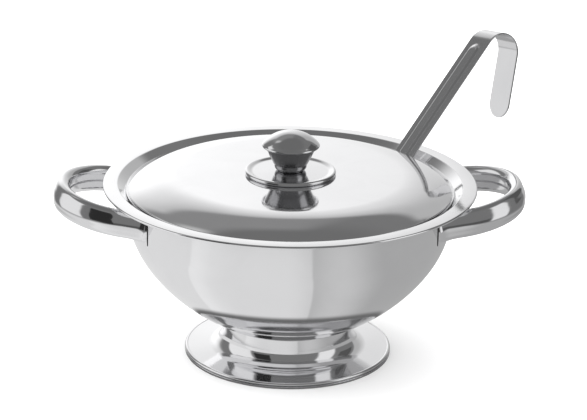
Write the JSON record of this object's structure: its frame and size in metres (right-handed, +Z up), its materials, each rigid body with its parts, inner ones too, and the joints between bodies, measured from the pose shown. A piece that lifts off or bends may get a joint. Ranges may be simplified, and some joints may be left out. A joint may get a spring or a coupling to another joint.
{
  "type": "soup tureen",
  "caption": "Footed soup tureen in polished steel: round bowl with a flat rim and loop handles, a domed lid with a knob, and a ladle that leans out through the lid's notch.",
  "frame": {"origin": "centre of the foot's flat underside, on the surface that the tureen stands on", "axes": "+Z up along the bowl's axis of turning; the handles lie along X, and the ladle leans out between +X and +Y"},
  "size_m": [0.3896, 0.3085, 0.2331],
  "materials": {
    "bowl_steel": "mirror-polished stainless steel",
    "foot_steel": "mirror-polished stainless steel",
    "handle_steel": "mirror-polished stainless steel",
    "lid_steel": "mirror-polished stainless steel",
    "knob_steel": "mirror-polished stainless steel",
    "ladle_steel": "mirror-polished stainless steel",
    "plain_steel": "plain turned steel, not polished"
  },
  "bodies": {
    "tureen": {"bowl": "bowl_steel", "bowl_rim": "bowl_steel", "foot": "foot_steel", "left_handle": "handle_steel", "right_handle": "handle_steel"},
    "lid": {"lid_shell": "lid_steel", "knob_rosette": "knob_steel", "knob_stem": "knob_steel", "knob_cap": "knob_steel", "knob_washer": "plain_steel", "knob_screw": "plain_steel"},
    "ladle": {"ladle_handle": "ladle_steel", "ladle_cup": "ladle_steel"}
  },
  "joints": [
    {"name": "lid_lift", "type": "slide", "parent": "tureen", "child": "lid", "axis": [0, 0, 1], "range_m": [0, 0.28]},
    {"name": "ladle_lift", "type": "slide", "parent": "tureen", "child": "ladle", "axis": [0, 0, 1], "range_m": [0, 0.13]}
  ],
  "couplings": [
    {"joint": "ladle_lift", "follows": "lid_lift", "ratio": 0.45}
  ]
}
